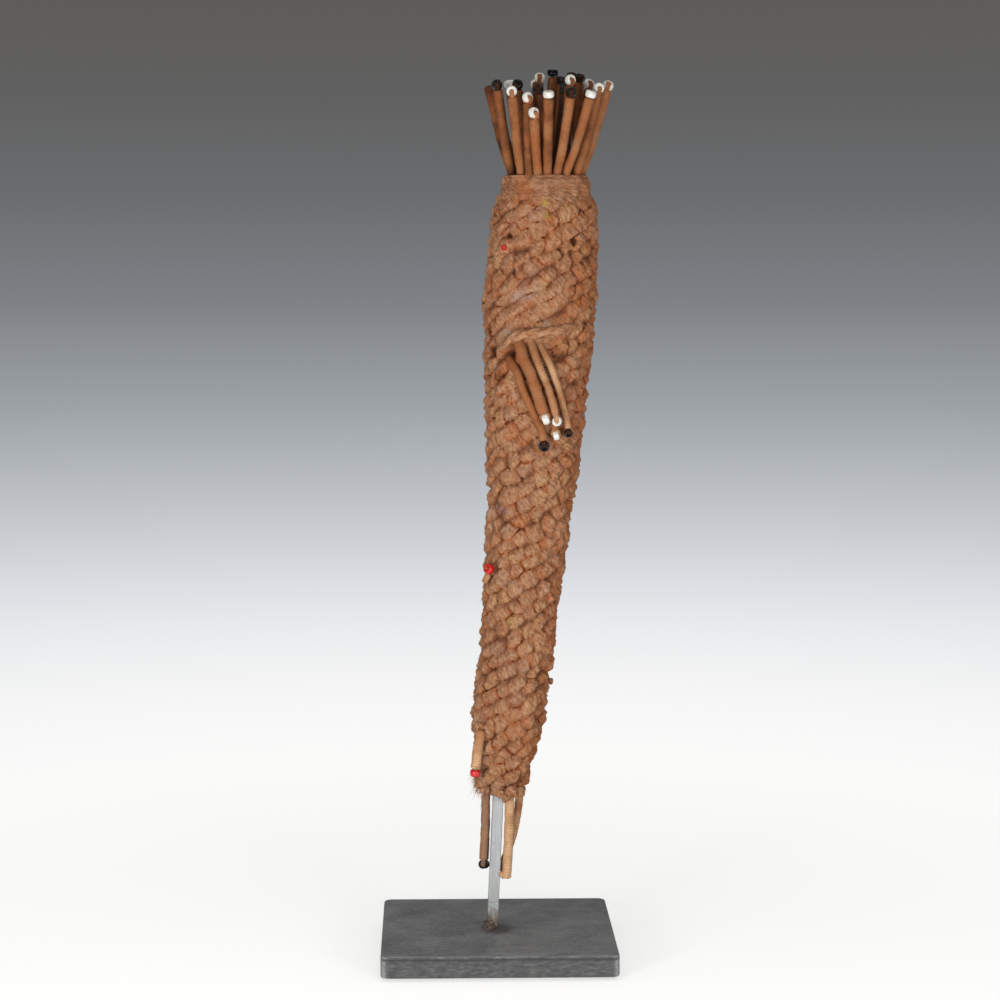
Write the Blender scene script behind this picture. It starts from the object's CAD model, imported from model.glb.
"""Looks of the cob doll in knotted cord on its steel stand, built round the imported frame."""
import math

import bpy
import numpy as np
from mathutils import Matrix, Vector


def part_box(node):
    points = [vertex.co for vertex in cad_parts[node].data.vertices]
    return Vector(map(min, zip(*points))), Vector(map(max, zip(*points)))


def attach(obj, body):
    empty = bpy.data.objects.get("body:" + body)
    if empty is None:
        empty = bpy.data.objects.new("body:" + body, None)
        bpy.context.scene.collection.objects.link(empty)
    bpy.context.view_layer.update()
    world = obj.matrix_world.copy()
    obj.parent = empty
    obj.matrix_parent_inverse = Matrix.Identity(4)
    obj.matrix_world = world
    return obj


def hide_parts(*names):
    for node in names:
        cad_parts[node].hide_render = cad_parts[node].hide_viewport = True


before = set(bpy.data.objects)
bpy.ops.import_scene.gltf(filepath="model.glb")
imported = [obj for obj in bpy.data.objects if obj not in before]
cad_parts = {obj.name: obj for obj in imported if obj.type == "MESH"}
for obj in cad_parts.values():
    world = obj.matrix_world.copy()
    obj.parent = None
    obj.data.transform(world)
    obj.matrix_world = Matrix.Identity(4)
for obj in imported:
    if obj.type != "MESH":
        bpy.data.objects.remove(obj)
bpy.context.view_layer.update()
BODY_LOW, BODY_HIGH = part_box("knotted_sheath")
COLLAR_LOW, COLLAR_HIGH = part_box("collar_band")
PLATE_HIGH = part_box("base_plate")[1]
WELD_LOW, WELD_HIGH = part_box("weld_bead")

# The part's own measures, in metres
FIT_GAP = 0.0003
BODY_BOTTOM = BODY_LOW.z
BODY_HEIGHT = BODY_HIGH.z - BODY_LOW.z
BODY_RADIUS = 0.0241
BODY_FOOT_X = 0.0024
BODY_LEAN_STEP = 0.01835
CORE_RADIUS = 0.0150
COLLAR_HEIGHT = 0.0082
COLLAR_RADIUS = 0.0194
LOCK_RADIUS = 0.0018
LOCK_TIP_RADIUS = 0.0021
TUFT_ROOT_RADIUS = 0.0152
TUFT_TIP_RADIUS = 0.0255
TUFT_HEIGHT = 0.0450
TUFT_LEAN_STEP = 0.0012
BEAD_DIAMETER = 0.0047
BEAD_LENGTH = 0.0030
BEAD_BORE = 0.0014
ARM_POCKET_DEPTH = 0.0030
ARM_POCKET_RIM_DEPTH = 0.0007
ARM_POCKET_HALF_HEIGHT = 0.0100
ARM_POCKET_TURN = -9.0
ARM_POCKET_HALF_TURN = 34.0
ARM_POCKET_SHARE = 0.7480 - ARM_POCKET_HALF_HEIGHT / BODY_HEIGHT / 2
ARM_STRAND_RADIUS = 0.0021
STRAND_DROP = 0.0011
ARM_LOCK_RADIUS = 0.0020
ARM_ROOT_EXTRA = 0.0030
LEG_LENGTH = 0.0290
LEG_RADIUS = 0.0018
LEG_BOW_SHARE = 0.17
LEG_HOOK = ((-0.0014, -0.0003, -0.0009), (-0.0026, -0.0004, 0.0004))
SIDE_LOCK_RADIUS = 0.0022
WAIST_STUB_RADIUS = 0.0014

# Height, lean and girth of the body's outline, as shares, and height and girth of the core's
BODY_SHARES = np.array((
    (0.000, 0.000, 0.38), (0.055, 0.060, 0.51), (0.120, 0.125, 0.645), (0.160, 0.170, 0.66),
    (0.225, 0.308, 0.667), (0.290, 0.402, 0.683), (0.360, 0.482, 0.70), (0.430, 0.568, 0.738),
    (0.495, 0.650, 0.775), (0.600, 0.748, 0.862), (0.725, 0.812, 0.942), (0.825, 0.872, 1.00),
    (0.880, 0.930, 0.98), (0.940, 0.968, 0.94), (0.980, 0.987, 0.91), (1.000, 1.000, 0.82),
))
CORE_SHARES = np.array((
    (0.00, 0.47), (0.10, 0.63), (0.30, 0.66), (0.49, 0.78), (0.70, 0.92), (0.88, 1.00), (1.00, 0.82),
))

# Hair locks: root turn and spread, tip turn, spread and height, bead and its pose, shade of the
# thread, and the bead's lean from the lock and swing round it
FRONT_HAIR = (
    (-108, 1, -98, 1, 1.03, None, None, 0.2, 0, 0), (-80, 1, -60, 0.98, 0.955, "black", "ring", 0.34, 38, 0),
    (-47, 1, -39, 0.98, 0.887, "white", "ring", 0.42, 85, -5),
    (-31, 1, -29, 0.75, 0.83, "white", "ring", 0.28, 80, 45),
    (-15.5, 1, -17, 0.86, 0.685, "white", "ring", 0.44, 80, 42),
    (0, 1, -2, 0.96, 0.87, "white", "flat", 0.36, 0, 0),
    (16, 1, 19, 0.97, 0.87, "black", "ring", 0.44, 36, 0),
    (31.5, 1, 42, 0.955, 0.882, "white", "flat", 0.48, 0, 0),
    (56, 1, 56, 0.94, 0.925, "white", "ring", 0.4, 84, 16),
    (83, 1, 80, 0.965, 0.963, "white", "ring", 0.5, 32, 0),
)
REAR_HAIR = (
    (104, 1, 120, 0.805, 1.004, "white", "ring", 0.22, 62, 20),
    (125, 1, 140, 0.86, 1.067, "black", "ring", 0.28, 40, 10),
    (147, 1, 153, 0.93, 1.09, "black", "ring", 0.22, 40, 0),
    (168, 1, 167, 0.94, 1.055, "black", "ring", 0.3, 35, -20),
    (190, 1, 192, 0.82, 1.015, "white", "ring", 0.26, 75, -30),
    (212, 1, 222, 0.92, 1.03, "white", "flat", 0.34, 0, 0),
    (232, 1, 244, 0.96, 0.93, "black", "ring", 0.24, 40, 0),
)
INNER_HAIR = (
    (-58, 0.55, -62, 0.57, 0.97, "black", "ring", 0.18, 80, -30),
    (-8, 0.55, -20, 0.52, 0.92, "black", "ring", 0.14, 36, 0),
    (45, 0.55, 42, 0.5, 1.012, "white", "ring", 0.2, 75, 30),
    (108, 0.55, 118, 0.31, 1.012, "black", "ring", 0.02, 40, 0),
    (170, 0.55, 166, 0.32, 1.12, "black", "flat", 0.3, 0, 0),
    (-122, 0.55, -128, 0.205, 1.05, "white", "ring", 0.24, 34, 0),
    (60, 0.25, 62, 0.3, 0.94, "black", "ring", -0.2, 40, 0),
)
HAIR_SETS = (("front", "hair", FRONT_HAIR, 0, 0.0, FIT_GAP), ("rear", "rear", REAR_HAIR, 20, 0.0, 0.0),
             ("inner", "inner", INNER_HAIR, 40, 2 * FIT_GAP, 0.0))
HAIR_LEVELS = (0.30, 0.65, 1.0)
HAIR_FLARE_POWER = 0.85

# Route of turn, height share and lift of the strand and of each arm lock, which also has a
# radius share, and a bead with its pose and size, and a shade
ARM_STRAND_ROUTE = ((-42, 0.752, 0.0), (-31, 0.766, 0.0), (-19, 0.7760, 0.05), (-8, 0.7775, 0.05),
                    (4, 0.7795, 0.05), (14, 0.782, 0.0), (24, 0.785, 0.0), (35, 0.791, 0.0))
ARMS = (
    (0.95, ((-30, 0.7225, -0.85), (-22, 0.709, 0), (-16.5, 0.6848, 0.05), (-8.3, 0.6579, 0.07),
            (-0.8, 0.6345, 0.1), (4.2, 0.618, 0.1), (6, 0.6068, 0.12)), "black", "ring", 1, 0.44),
    (1.2, ((-20.4, 0.748, -0.85), (-15.6, 0.732, 0), (-9, 0.712, 0.55), (-3.2, 0.6856, 1.05),
           (0.8, 0.6645, 1.17), (3, 0.6533, 1.2)), "white", "side", 1, 0.5),
    (0.85, ((-7.6, 0.75, -0.85), (-3.2, 0.732, 0.15), (1.6, 0.7118, 0.3), (8.6, 0.6851, 0.6),
            (13.4, 0.6583, 1.12), (15.2, 0.647, 1.16)), "white", "ring", 0.94, 0.72),
    (0.75, ((3.4, 0.7447, -0.85), (7.6, 0.7319, 0), (13.6, 0.7117, 0.1), (20.3, 0.6847, 0.12),
            (25.9, 0.6573, 0.2), (31.2, 0.6354, 0.25), (32.8, 0.624, 0.35)), "black", "ring", 0.78, 0.76),
    (0.7, ((-11.6, 0.708, -0.85), (-3.2, 0.6848, 0), (4.9, 0.6578, 0), (13, 0.64, 0.05),
           (16.2, 0.6315, 0.12), (18.2, 0.6211, 0.18)), "white", "side", 0.9, 0.55),
)

# Leg locks: name, radius share, turn and spread of the root, sideways travel and length as
# shares of the leg length, bead, shade
LEGS = (
    ("left_front", 0.97, -79, 0.86, -0.031, 0.89, "black", 0.36),
    ("left_back", 0.86, -124, 0.92, -0.021, 0.95, "black", 0.30),
    ("right_front", 1.19, 64, 0.36, -0.045, 1.17, None, 0.98),
    ("right_back", 0.97, 122, 0.97, -0.255, 1.08, "white", 0.82),
)
SIDE_LOCK_ROUTE = ((-44.0, 0.1067, 0.0), (-46.5, 0.0780, 0.77), (-47.2, 0.0570, 1.32))
WAIST_BEAD = (-53.0, 0.3835)
WAIST_STUB = ((-59.0, 0.3705), (-63.5, 0.3635))
CHEST_BEAD = (-46.0, 0.9123)
CHEST_BEAD_SIZE = 0.58

# Knots of the sheath
SHEATH_ROWS = 404
SHEATH_COLUMNS = 236
SEAM_COLUMNS = 16
INNER, LEFT, RIGHT = slice(SEAM_COLUMNS, -SEAM_COLUMNS), slice(SEAM_COLUMNS), slice(-SEAM_COLUMNS, None)
KNOT_WIDTH = 0.0068
KNOT_PITCH = 0.0073
KNOT_CLIMB = 0.5
KNOT_DEPTH = 0.0028
KNOT_HALF_LENGTH = 0.0047
KNOT_HALF_WIDTH = 0.0041
KNOT_ROW_REACH = 0.0085
KNOT_COLUMN_REACH = 0.0115
KNOT_TILT = 0.00095
KNOT_JITTER = 0.00075
KNOT_TOP = 0.00030
KNOT_DRIFT = 0.00055
ROPE_HALF_LENGTH = 0.0085
CREASE_DEPTH = 0.00060
CREASE_WIDTH = 0.00030
HOLE_DEPTH = 0.0014
STRAND_PITCH = 0.00200
STRAND_SHEAR = 0.40
STRAND_RELIEF = 0.00024
RELIEF_CEILING = 0.00120
CEILING_UNDER_ARMS = 0.00020
END_ROWS = 3
FOOT_RINGS = ((1.0, 0.0008), (0.88, -0.000344), (0.55, -0.00014))
TOP_RINGS = ((0.35, -0.0001), (0.75, -0.0003), (1.0, -0.0008))

# Patches on the sheath: turn, height share, radius and strength
RUST_SPOTS = (
    (-36, 1, 0.005, 0.8), (-28, 0.985, 0.0035, 0.7), (41, 0.9, 0.005, 0.9), (22, 0.77, 0.0045, 0.8),
    (30, 0.8, 0.006, 0.6), (8, 0.128, 0.0035, 1), (16, 0.1, 0.004, 1), (38, 0.088, 0.004, 0.8),
    (-62, 0.82, 0.007, 0.8), (-70, 0.86, 0.006, 0.8), (34, 0.845, 0.006, 0.8), (58, 0.66, 0.006, 0.6),
    (-66, 0.62, 0.006, 0.5), (20, 0.43, 0.004, 0.5), (150, 0.7, 0.008, 0.7), (-140, 0.4, 0.007, 0.7),
    (170, 0.25, 0.006, 0.7), (110, 0.86, 0.007, 0.6), (-120, 0.83, 0.007, 0.6))
DARK_SPOTS = (
    (-61, 0.741, 0.0026, 1), (-68, 0.776, 0.0024, 1), (32, 0.922, 0.0016, 0.9), (-43, 0.931, 0.0015, 0.9),
    (-78, 0.969, 0.0016, 0.9), (-34, 0.735, 0.003, 0.8), (-47, 0.7, 0.003, 0.5), (24, 0.735, 0.003, 0.5))
MARKS = {
    "violet": ((-51.5, 0.4834, 0.0014, 1), (-40, 0.4808, 0.0012, 0.9)),
    "yellow": ((-1.5, 0.985, 0.0015, 1), (1.5, 0.964, 0.0014, 1),
               (-12, 0.655, 0.002, 0.4), (-20, 0.3, 0.0025, 0.5)),
    "pale": ((-16.5, 0.8366, 0.0022, 1), (-27.5, 0.8328, 0.0024, 0.8), (-6, 0.845, 0.002, 0.6),
             (-35, 0.775, 0.002, 0.6), (4, 0.79, 0.002, 0.5), (40, 0.935, 0.002, 0.5)),
}
COLLAR_SPOTS = ((-34, 1.008, 0.0038, 1.3), (-28, 0.998, 0.003, 1.2), (60, 1.01, 0.005, 0.7),
                (326, 1.008, 0.0042, 1.2), (332, 0.998, 0.003, 1.2), (190, 1, 0.006, 0.8))

# Threads
THREAD_PITCH = 0.00078
THREAD_RIDGE = 0.00017
THREAD_TWIST = 0.00045
LOOP_RADIUS = 0.00058
LOCK_SIDES = 12
STRAND_SIDES = 8

# Stage: the tones are distance, linear tone and how much bluer than grey it is
FLOOR_RADIUS = 2.2
WALL_HEIGHT = 3.2
FLOOR_GLOW = 0.52
WALL_STOPS = ((0.0, 0.540, 0.056), (0.060, 0.448, 0.07), (0.123, 0.356, 0.08), (0.250, 0.220, 0.075),
              (0.377, 0.153, 0.035), (0.504, 0.119, 0.0), (0.633, 0.107, -0.07), (WALL_HEIGHT, 0.105, -0.08))
FLOOR_STOPS = ((0.0, 0.985, -0.01), (0.30, 0.985, -0.01), (0.67, 0.925, 0.0), (0.90, 0.865, 0.01),
               (1.20, 0.775, 0.03), (1.25, 0.755, 0.04), (1.50, 0.683, 0.045), (1.75, 0.623, 0.05),
               (2.00, 0.573, 0.053), (FLOOR_RADIUS, 0.540, 0.056))
LAMPS = (
    ("left_softbox", (-0.58, -0.90, 0.18), (0.0, 0.0, 0.10), (0.20, 0.26), 4.4),
    ("right_softbox", (0.48, -0.96, 0.18), (0.0, 0.0, 0.10), (0.20, 0.26), 2.9),
    ("top_softbox", (0.0, -0.10, 1.15), (0.0, 0.0, 0.10), (0.80, 0.80), 2.0),
    ("front_fill", (0.0, -0.66, 0.02), (0.0, 0.0, 0.08), (0.50, 0.40), 2.25),
)
AIR_STRENGTH = 0.22
CAMERA_LENS = 94.62
CAMERA_PLACE = (-0.02884637, -1.13970951, 0.3059033)
CAMERA_WAY = (0.02620397, 0.99537823, -0.09238797)

BROWN = (0.400, 0.180, 0.088)
RUST = (0.400, 0.118, 0.036)
MAUVE = (0.340, 0.185, 0.120)
OCHRE = (0.500, 0.265, 0.120)
UMBER = (0.170, 0.056, 0.024)
GROOVE = (0.050, 0.013, 0.005)
TAN = (0.545, 0.308, 0.170)
VIOLET = (0.150, 0.075, 0.170)
YELLOW = (0.560, 0.380, 0.060)
PALE = (0.520, 0.440, 0.390)


# Noise and small sums
def waves(points, size, seed, count=16):
    """Smooth noise of about unit spread over points, from seeded plane waves of about one size."""
    draw = np.random.default_rng(seed)
    ways = units(draw.normal(size=(count, points.shape[-1])))
    rates = 2 * math.pi / size * draw.uniform(0.6, 1.5, count)
    phases = draw.uniform(0, 2 * math.pi, count)
    total = np.zeros(points.shape[:-1])
    for way, rate, phase in zip(ways, rates, phases):
        total += np.sin(points @ way * rate + phase)
    return total * math.sqrt(2 / count)


def line_waves(places, size, seed):
    return waves(np.stack([places, places * 0], -1), size, seed)


def fade(value, low, high):
    place = np.clip((value - low) / (high - low), 0, 1)
    return place * place * (3 - 2 * place)


def unit(vector):
    return vector / np.linalg.norm(vector)


def units(vectors):
    return vectors / np.linalg.norm(vectors, axis=1)[:, None]


def ring_angles(count):
    return np.arange(count) * 2 * math.pi / count


# Outline of the body
def smooth_value(table, column, share):
    """Read a column of a share table along a smooth curve, for one share or an array."""
    share = np.asarray(share, float)
    index = np.clip(np.searchsorted(table[:, 0], share, side="left") - 1, 0, len(table) - 2)
    low, high = table[index], table[index + 1]
    span = high[..., 0] - low[..., 0]
    place = (share - low[..., 0]) / span
    wide = np.concatenate([table[:1], table, table[-1:]])
    slopes = (wide[2:, column] - wide[:-2, column]) / (wide[2:, 0] - wide[:-2, 0])
    square, cube = place ** 2, place ** 3
    return ((2 * cube - 3 * square + 1) * low[..., column]
            + (cube - 2 * square + place) * span * slopes[index]
            + (3 * square - 2 * cube) * high[..., column]
            + (cube - square) * span * slopes[index + 1])


def height_at(share):
    return BODY_BOTTOM + BODY_HEIGHT * share


def share_at(height):
    return (height - BODY_BOTTOM) / BODY_HEIGHT


def axis_x(share):
    return BODY_FOOT_X + BODY_LEAN_STEP * smooth_value(BODY_SHARES, 1, share)


def girth(share):
    return BODY_RADIUS * smooth_value(BODY_SHARES, 2, share)


def around(centre_x, height, turn, radius):
    angle = math.radians(turn)
    return np.array((centre_x + radius * math.sin(angle), -radius * math.cos(angle), height), float)


def on_body(turn, share, lift):
    return around(axis_x(share), height_at(share), turn, girth(share) + lift)


def round_grid(centre_x, radius, angles, heights):
    """Points round an upright axis, with the angles counted from the front."""
    places = centre_x + radius * np.sin(angles), -radius * np.cos(angles), heights
    return np.stack(np.broadcast_arrays(*places), -1)


# Meshes
def mesh_object(name, points, faces, material, values=None, weave=None):
    """Mesh from arrays, with values for its points and weave coordinates for its corners."""
    mesh = bpy.data.meshes.new(name)
    points = np.asarray(points, np.float32).reshape(-1, 3)
    sizes = np.concatenate([np.full(len(part), part.shape[1], np.int32) for part in faces])
    corners = np.concatenate([part.ravel() for part in faces]).astype(np.int32)
    starts = np.concatenate([[0], np.cumsum(sizes)[:-1]]).astype(np.int32)
    for part, label, numbers, count in ((mesh.vertices, "co", points.ravel(), len(points)),
                                        (mesh.loops, "vertex_index", corners, len(corners)),
                                        (mesh.polygons, "loop_start", starts, len(starts))):
        part.add(count)
        part.foreach_set(label, numbers)
    for label, numbers in (values or {}).items():
        layer = mesh.attributes.new(label, "FLOAT", "POINT")
        layer.data.foreach_set("value", np.asarray(numbers, np.float32).ravel())
    if weave is not None:
        mesh.uv_layers.new(name="weave").data.foreach_set("uv", np.asarray(weave, np.float32).ravel())
    mesh.update(calc_edges=True)
    mesh.validate()
    mesh.shade_smooth()
    mesh.materials.append(material)
    item = bpy.data.objects.new(name, mesh)
    bpy.context.scene.collection.objects.link(item)
    return item


def grid_faces(rows, columns):
    """Quads of a grid that closes round its columns, facing away from a rising axis."""
    index = np.arange(rows * columns).reshape(rows, columns)
    after = np.roll(index, -1, axis=1)
    return np.stack([index[:-1], after[:-1], after[1:], index[1:]], -1).reshape(-1, 4)


def ring_faces(segments, sides):
    """Quads of a grid that closes both ways."""
    index = np.arange(segments * sides).reshape(segments, sides)
    onward, over = np.roll(index, -1, axis=0), np.roll(index, -1, axis=1)
    return np.stack([index, onward, np.roll(onward, -1, axis=1), over], -1).reshape(-1, 4)


def grid_weave(across, along):
    """Corner coordinates of a closed grid, from the places of its rows and of its columns and one more."""
    field = np.stack(np.meshgrid(across, along), -1)
    return np.stack([field[:-1, :-1], field[:-1, 1:], field[1:, 1:], field[1:, :-1]], 2)


def place_piece(item, body, slot, *nodes):
    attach(item, body)
    if nodes:
        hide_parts(*nodes)
    return item


# Materials
class Shade:
    """A node material under construction, with the colour of its body so far."""

    def __init__(self, name, **sockets):
        self.made = bpy.data.materials.new(name)
        self.made.use_nodes = True
        self.nodes, self.links = self.made.node_tree.nodes, self.made.node_tree.links
        self.shader = self.nodes["Principled BSDF"]
        for label, value in sockets.items():
            self.shader.inputs[label.replace("_", " ")].default_value = value
        self.place = self.add("ShaderNodeTexCoord").outputs["Object"]
        self.body = None

    def feed(self, socket, value):
        if isinstance(value, bpy.types.NodeSocket):
            self.links.new(value, socket)
        elif value is not None:
            socket.default_value = value

    def add(self, kind, inputs=None, **settings):
        node = self.nodes.new(kind)
        for label, value in settings.items():
            setattr(node, label, value)
        for label, value in (inputs or {}).items():
            self.feed(node.inputs[label], value)
        return node

    def noise(self, scale, detail=4.0, roughness=0.55, distortion=0.0, vector=None):
        return self.add("ShaderNodeTexNoise", {
            "Vector": vector or self.place, "Scale": scale, "Detail": detail, "Roughness": roughness,
            "Distortion": distortion}).outputs["Fac"]

    def value(self, label):
        return self.add("ShaderNodeAttribute", attribute_name=label).outputs["Fac"]

    def stretched(self, *scales, vector=None):
        return self.add("ShaderNodeMapping", {
            "Vector": vector or self.place, "Scale": scales}).outputs["Vector"]

    def weave(self, across, along):
        return self.stretched(
            across, along, 1.0, vector=self.add("ShaderNodeUVMap", uv_map="weave").outputs["UV"])

    def parts(self, vector=None):
        return self.add("ShaderNodeSeparateXYZ", {"Vector": vector or self.place}).outputs

    def sum(self, kind, first, second=None):
        node = self.add("ShaderNodeMath", operation=kind)
        for socket, value in zip(node.inputs, (first, second)):
            self.feed(socket, value)
        return node.outputs[0]

    def span(self, value, low, high, to_low=0.0, to_high=1.0):
        return self.add("ShaderNodeMapRange", {"Value": value, "From Min": low, "From Max": high,
                                               "To Min": to_low, "To Max": to_high}, clamp=True).outputs[0]

    def ramp(self, value, *stops):
        node = self.add("ShaderNodeValToRGB", {"Fac": value})
        elements = node.color_ramp.elements
        while len(elements) < len(stops):
            elements.new(0.5)
        for element, (place, colour) in zip(elements, stops):
            element.position = place
            element.color = (*colour, 1.0)
        return node.outputs["Color"]

    def cover(self, amount, colour):
        """Lay a colour, or a socket's, over the body."""
        node = self.add("ShaderNodeMix", data_type="RGBA")
        for index, value in ((0, amount), (6, self.body), (7, colour)):
            self.feed(node.inputs[index], (*value, 1.0) if isinstance(value, tuple) else value)
        self.body = node.outputs[2]

    def layers(self, *rows):
        """Lay colours over the body, each where a value goes from low to high, and by how much."""
        for value, low, high, amount, colour in rows:
            self.cover(self.span(value, low, high, 0.0, amount), colour)

    def done(self, rough, *bumps):
        """Join up the colour, the roughness and the bumps, each of height, distance and strength."""
        self.feed(self.shader.inputs["Base Color"], self.body)
        self.feed(self.shader.inputs["Roughness"], rough)
        under = None
        for height, distance, strength in bumps:
            under = self.add("ShaderNodeBump", {"Height": height, "Distance": distance, "Strength": strength,
                                                "Normal": under}).outputs["Normal"]
        self.feed(self.shader.inputs["Normal"], under)
        return self.made

    def surface(self, node):
        self.links.new(node.outputs[0], self.nodes["Material Output"].inputs["Surface"])
        return self.made


def cord_shade(name, brown=BROWN, mauve=MAUVE):
    """Old cord of many threads, brown with rust, ochre and mauve patches, dark in its grooves."""
    shade = Shade(name, Specular_IOR_Level=0.15)
    patches = shade.noise(80.0, 4.0, 0.65, 0.5)
    hue = shade.sum("ADD", shade.value("hue"), shade.span(patches, 0.28, 0.72, -0.42, 0.42))
    shade.body = shade.ramp(hue, (0.05, RUST), (0.36, brown), (0.62, brown), (0.95, OCHRE))
    greys = shade.sum("ADD", shade.value("tint"), shade.span(shade.noise(130.0, 3.0), 0.3, 0.7, -0.4, 0.4))
    ways = shade.parts(shade.weave(1.0, 1.0))
    slant = shade.sum("ADD", ways["X"], shade.sum("MULTIPLY", ways["Y"], STRAND_SHEAR))
    bends = shade.span(shade.noise(380.0, 3.0, 0.6), 0.2, 0.8, -0.7, 0.7)
    phase = shade.sum("ADD", shade.sum("DIVIDE", slant, STRAND_PITCH), bends)
    ridge = shade.sum("ABSOLUTE", shade.sum("SINE", shade.sum("MULTIPLY", phase, math.pi)))
    mottle = shade.noise(230.0, 4.0, 0.7, 0.4)
    fibres = shade.noise(1.0, 5.0, 0.72, 0.9, shade.weave(1250.0, 340.0))
    flecks = shade.noise(480.0, 4.0, 0.7)
    grit = shade.noise(820.0, 3.0, 0.65)
    relief, crease = shade.value("relief"), shade.value("crease")
    fringe = shade.sum("MULTIPLY", shade.span(crease, 0.0, 0.22), shade.span(mottle, 0.64, 0.46))
    shade.layers(
        (greys, 0.45, 1.0, 0.75, mauve), (ridge, 0.55, 0.0, 0.42, UMBER), (mottle, 0.47, 0.34, 0.45, RUST),
        (mottle, 0.54, 0.72, 0.55, TAN), (relief, 0.70, 1.0, 0.42, TAN), (fibres, 0.52, 0.62, 0.62, TAN),
        (fibres, 0.48, 0.37, 0.52, UMBER), (flecks, 0.58, 0.70, 0.45, PALE),
        (flecks, 0.47, 0.36, 0.52, UMBER), (grit, 0.47, 0.30, 0.40, UMBER), (grit, 0.56, 0.72, 0.50, OCHRE),
        (shade.value("warm"), 0.0, 1.0, 0.60, RUST), (shade.value("violet"), 0.0, 1.0, 0.80, VIOLET),
        (shade.value("yellow"), 0.0, 1.0, 0.60, YELLOW), (shade.value("pale"), 0.0, 1.0, 0.45, PALE),
        (fringe, 0.0, 1.0, 0.88, RUST), (relief, 0.52, 0.05, 0.80, UMBER), (crease, 0.14, 0.62, 0.92, GROOVE))
    return shade.done(shade.span(fibres, 0.3, 0.7, 0.80, 0.96), (flecks, 0.00060, 0.9), (grit, 0.00030, 0.8),
                      (ridge, 0.00020, 0.8), (fibres, 0.00036, 1.0))


def thread_shade(name, dust=0.0):
    """Bound thread, from dark red brown to ochre as the tint of its lock says."""
    shade = Shade(name, Specular_IOR_Level=0.2)
    tint = shade.value("tint")
    bright = shade.span(tint, 0.0, 0.25)
    shades = shade.sum("ADD", tint, shade.span(shade.noise(150.0, 4.0, 0.65), 0.3, 0.7, -0.13, 0.13))
    shade.body = shade.ramp(shades, (0.02, (0.026, 0.009, 0.004)), (0.22, (0.150, 0.046, 0.015)),
                            (0.42, (0.330, 0.122, 0.042)), (0.68, (0.440, 0.205, 0.092)),
                            (1.00, (0.720, 0.450, 0.250)))
    flecks = shade.noise(700.0, 4.0, 0.7)
    light = shade.sum("MULTIPLY", bright, shade.span(flecks, 0.58, 0.74))
    warm = shade.sum("MULTIPLY", bright, shade.span(shade.noise(95.0, 2.0), 0.52, 0.68))
    shade.layers((flecks, 0.44, 0.26, 0.65, UMBER), (light, 0.0, 1.0, 0.40, OCHRE),
                 (warm, 0.0, 1.0, 0.60, RUST))
    shade.cover(dust, (0.36, 0.235, 0.160))
    shade.layers((shade.value("relief"), 0.85, 0.15, 0.68, UMBER))
    fine = shade.noise(1.0, 3.0, 0.65, 0.4, shade.weave(900.0, 3200.0))
    return shade.done(shade.span(fine, 0.3, 0.7, 0.74, 0.92), (flecks, 0.00020, 0.7), (fine, 0.00014, 0.8))


def glass_shade(colour, main, second, rough, coat=0.35, shine=0.5):
    """Old glass bead with faint streaks and a worn surface."""
    shade = Shade(f"{colour}_glass", Specular_IOR_Level=shine, Coat_Weight=coat, Coat_Roughness=0.05)
    shade.body = main
    shade.cover(shade.span(shade.noise(420.0, 3.0, 0.6, 1.2), 0.50, 0.75), second)
    return shade.done(shade.span(shade.noise(1260.0, 3.0), 0.35, 0.75, rough, rough + 0.16),
                      (shade.noise(840.0, 2.0), 0.00006, 0.5))


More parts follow.
